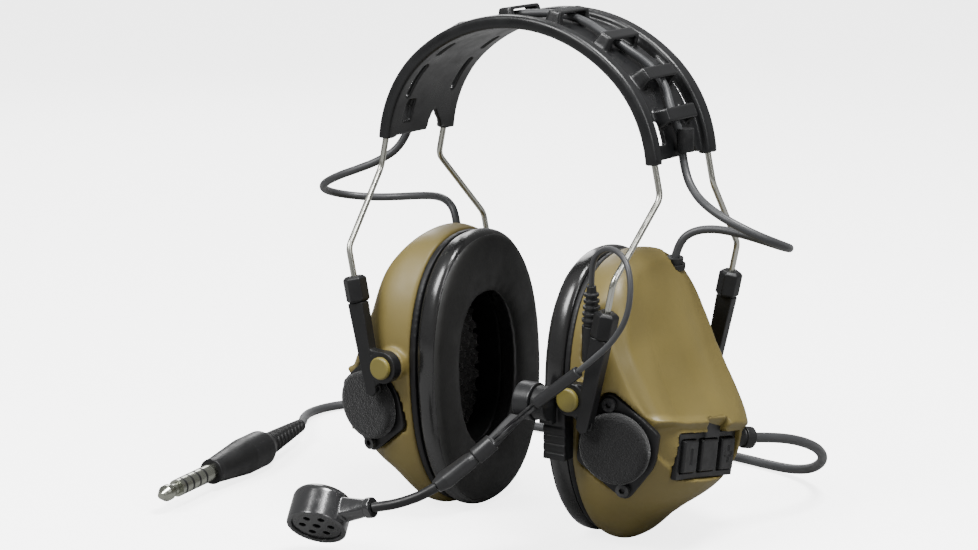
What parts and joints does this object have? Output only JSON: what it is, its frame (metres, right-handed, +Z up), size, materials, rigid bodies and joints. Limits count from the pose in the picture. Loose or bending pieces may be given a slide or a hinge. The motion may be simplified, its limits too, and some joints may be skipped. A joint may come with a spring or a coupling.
{
  "type": "radio communication headphones",
  "caption": "Two-cup communication headset with a moulded wire-sprung headband, forked yokes, a boom microphone, a crossover cable and a coiled downlead with a jack plug.",
  "frame": {"origin": "On the floor under the middle of the object's own box, measured without its cords: the ear cups stand on z = 0.", "axes": "+X towards the wearer's left ear, the boom microphone's side. +Y towards the back of the head. +Z up through the headband."},
  "size_m": [0.279, 0.2178, 0.2018],
  "materials": {
    "olive_shell": "moulded matte plastic, olive brown",
    "black_plastic": "moulded black plastic, fine texture",
    "grey_plastic": "dark grey satin plastic",
    "spring_steel": "bare spring steel wire",
    "cushion_skin": "black synthetic leather over foam",
    "foam": "open-cell foam",
    "cord_jacket": "matte black cable jacket",
    "speaker_parts": "driver frame",
    "screw_steel": "blackened steel",
    "key_rubber": "moulded key rubber",
    "plug_metal": "nickel plated brass",
    "board": "solder resist",
    "cell_jacket": "plain cell sleeve"
  },
  "bodies": {
    "headband": {"headband_shell": "black_plastic", "headband_wire_front": "spring_steel", "headband_wire_rear": "spring_steel", "crossover_cable_band": "cord_jacket", "cable_clips": "grey_plastic", "crossover_loop_left": "cord_jacket", "crossover_loop_right": "cord_jacket"},
    "yoke_left": {"yoke_arms_left": "black_plastic", "slider_nuts_left": "black_plastic", "pivot_pins_left": "olive_shell"},
    "yoke_right": {"yoke_arms_right": "black_plastic", "slider_nuts_right": "black_plastic", "pivot_pins_right": "olive_shell"},
    "cup_left": {"cup_shell_left": "olive_shell", "baffle_plate_left": "black_plastic", "ear_cushion_left": "cushion_skin", "foam_liner_left": "foam", "speaker_left": "speaker_parts", "windscreen_foam_left": "foam", "windscreen_flange_left": "black_plastic", "flange_screws_left": "screw_steel", "ambient_mic_left": "black_plastic", "crossover_gland_left": "cord_jacket", "key_panel": "grey_plastic", "circuit_board": "board", "mic_socket": "grey_plastic", "mic_plug": "cord_jacket", "boom_bracket": "grey_plastic", "mic_lead": "cord_jacket", "lead_sleeve": "cord_jacket", "downlead_gland": "cord_jacket", "downlead_exit": "cord_jacket", "downlead_coil": "cord_jacket", "downlead_tail": "cord_jacket", "plug_relief": "cord_jacket", "plug_body": "black_plastic", "plug_shank": "plug_metal", "plug_insulators": "black_plastic"},
    "key_minus": {"key_minus": "key_rubber"},
    "key_power": {"key_power": "key_rubber"},
    "key_plus": {"key_plus": "key_rubber"},
    "boom": {"boom_hub": "grey_plastic", "boom_strap": "grey_plastic", "boom_rods": "spring_steel", "boom_grip": "grey_plastic", "boom_gooseneck": "cord_jacket"},
    "mic": {"mic_housing": "grey_plastic", "mic_grille": "grey_plastic"},
    "cup_right": {"cup_shell_right": "olive_shell", "baffle_plate_right": "black_plastic", "ear_cushion_right": "cushion_skin", "foam_liner_right": "foam", "speaker_right": "speaker_parts", "windscreen_foam_right": "foam", "windscreen_flange_right": "black_plastic", "flange_screws_right": "screw_steel", "ambient_mic_right": "black_plastic", "crossover_gland_right": "cord_jacket", "battery_cells": "cell_jacket"},
    "battery_lid": {"battery_lid": "olive_shell"}
  },
  "joints": [
    {"name": "height_slide_left", "type": "slide", "parent": "headband", "child": "yoke_left", "axis": [-0.2079, 0, -0.9781], "range_m": [0, 0.018], "deforming": ["crossover_loop_left"]},
    {"name": "height_slide_right", "type": "slide", "parent": "headband", "child": "yoke_right", "axis": [0.2079, 0, -0.9781], "range_m": [0, 0.018], "deforming": ["crossover_loop_right"]},
    {"name": "cup_tilt_left", "type": "hinge", "parent": "yoke_left", "child": "cup_left", "pos_m": [0.04307, 0.02706, 0.0632], "axis": [0, 1, 0], "range_deg": [-10, 10], "deforming": ["crossover_loop_left"]},
    {"name": "cup_tilt_right", "type": "hinge", "parent": "yoke_right", "child": "cup_right", "pos_m": [-0.04353, 0.02706, 0.0632], "axis": [0, -1, 0], "range_deg": [-10, 10], "deforming": ["crossover_loop_right"]},
    {"name": "boom_swing", "type": "hinge", "parent": "cup_left", "child": "boom", "pos_m": [0.02877, -0.02194, 0.061], "axis": [-1, 0, 0], "range_deg": [0, 85], "deforming": ["mic_lead", "lead_sleeve"]},
    {"name": "mic_swivel", "type": "hinge", "parent": "boom", "child": "mic", "pos_m": [-0.01548, -0.06276, 0.02258], "axis": [-0.9719, -0.0999, -0.2133], "range_deg": [-60, 60]},
    {"name": "key_minus_press", "type": "slide", "parent": "cup_left", "child": "key_minus", "axis": [-1, 0, 0], "range_m": [0, 0.0008], "stiffness_N_per_m": 1500},
    {"name": "key_power_press", "type": "slide", "parent": "cup_left", "child": "key_power", "axis": [-1, 0, 0], "range_m": [0, 0.0008], "stiffness_N_per_m": 1500},
    {"name": "key_plus_press", "type": "slide", "parent": "cup_left", "child": "key_plus", "axis": [-1, 0, 0], "range_m": [0, 0.0008], "stiffness_N_per_m": 1500},
    {"name": "battery_lid_hinge", "type": "hinge", "parent": "cup_right", "child": "battery_lid", "pos_m": [-0.07663, 0.02456, 0.0443], "axis": [0, 1, 0], "range_deg": [0, 70]}
  ]
}
